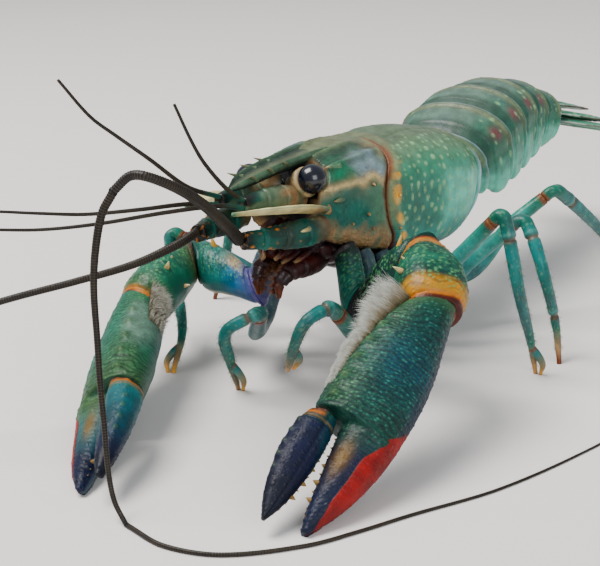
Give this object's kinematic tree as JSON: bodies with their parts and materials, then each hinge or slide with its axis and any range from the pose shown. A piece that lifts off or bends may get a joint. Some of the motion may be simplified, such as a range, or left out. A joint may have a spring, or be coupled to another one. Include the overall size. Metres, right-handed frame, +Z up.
{
  "type": "red-claw crayfish, adult male",
  "caption": "Life-size still model of an adult male red-claw crayfish standing with spread claws, long bent feelers and a tail fan held clear of the ground.",
  "frame": {"origin": "on the floor, below the middle of the model's bounding box", "axes": "+Z up; -Y the way the head points; +X the animal's left"},
  "size_m": [0.164, 0.1854, 0.0615],
  "materials": {
    "flank_shell": "wet-looking shell, green over mint with pale spots",
    "head_shell": "olive and grey-green shell with cream and teal patches",
    "eye": "glossy blue-black",
    "ivory": "smooth ivory with a dark edge",
    "feeler": "dark brown, finely ringed",
    "mouth_shell": "dark maroon shell",
    "limb_shell": "turquoise shell with orange-brown joints",
    "claw_shell": "deep green shell with pale flecks, orange joint bands and a scarlet soft patch",
    "finger_shell": "navy shell, ivory teeth",
    "tail_shell": "teal-green rings with olive hind bands and mint side plates"
  },
  "bodies": {
    "root": {"thorax": "flank_shell", "head": "head_shell", "eye_left": "eye", "eyestalk_left": "head_shell", "scale_left": "ivory", "antenna_base_left": "head_shell", "antennule_base_left": "head_shell", "antennule_left_upper": "feeler", "antennule_left_lower": "feeler", "maxilliped_left": "mouth_shell", "claw_left_ischium": "limb_shell", "claw_left_merus": "limb_shell", "claw_left_carpus": "claw_shell", "claw_left_palm": "claw_shell", "claw_left_finger": "finger_shell", "leg_left_2_upper": "limb_shell", "leg_left_2_lower": "limb_shell", "leg_left_3_upper": "limb_shell", "leg_left_3_lower": "limb_shell", "leg_left_4_upper": "limb_shell", "leg_left_4_lower": "limb_shell", "leg_left_5_upper": "limb_shell", "leg_left_5_lower": "limb_shell", "uropod_left_inner": "tail_shell", "uropod_left_outer": "tail_shell", "eye_right": "eye", "eyestalk_right": "head_shell", "scale_right": "ivory", "antenna_base_right": "head_shell", "antennule_base_right": "head_shell", "antennule_right_upper": "feeler", "antennule_right_lower": "feeler", "maxilliped_right": "mouth_shell", "claw_right_ischium": "limb_shell", "claw_right_merus": "limb_shell", "claw_right_carpus": "claw_shell", "claw_right_palm": "claw_shell", "claw_right_finger": "finger_shell", "leg_right_2_upper": "limb_shell", "leg_right_2_lower": "limb_shell", "leg_right_3_upper": "limb_shell", "leg_right_3_lower": "limb_shell", "leg_right_4_upper": "limb_shell", "leg_right_4_lower": "limb_shell", "leg_right_5_upper": "limb_shell", "leg_right_5_lower": "limb_shell", "uropod_right_inner": "tail_shell", "uropod_right_outer": "tail_shell", "antenna_left_1": "feeler", "antenna_left_2": "feeler", "antenna_left_3": "feeler", "antenna_right_1": "feeler", "antenna_right_2": "feeler", "abdomen_1": "tail_shell", "abdomen_2": "tail_shell", "abdomen_3": "tail_shell", "abdomen_4": "tail_shell", "abdomen_5": "tail_shell", "abdomen_6": "tail_shell", "telson": "tail_shell"}
  },
  "joints": []
}
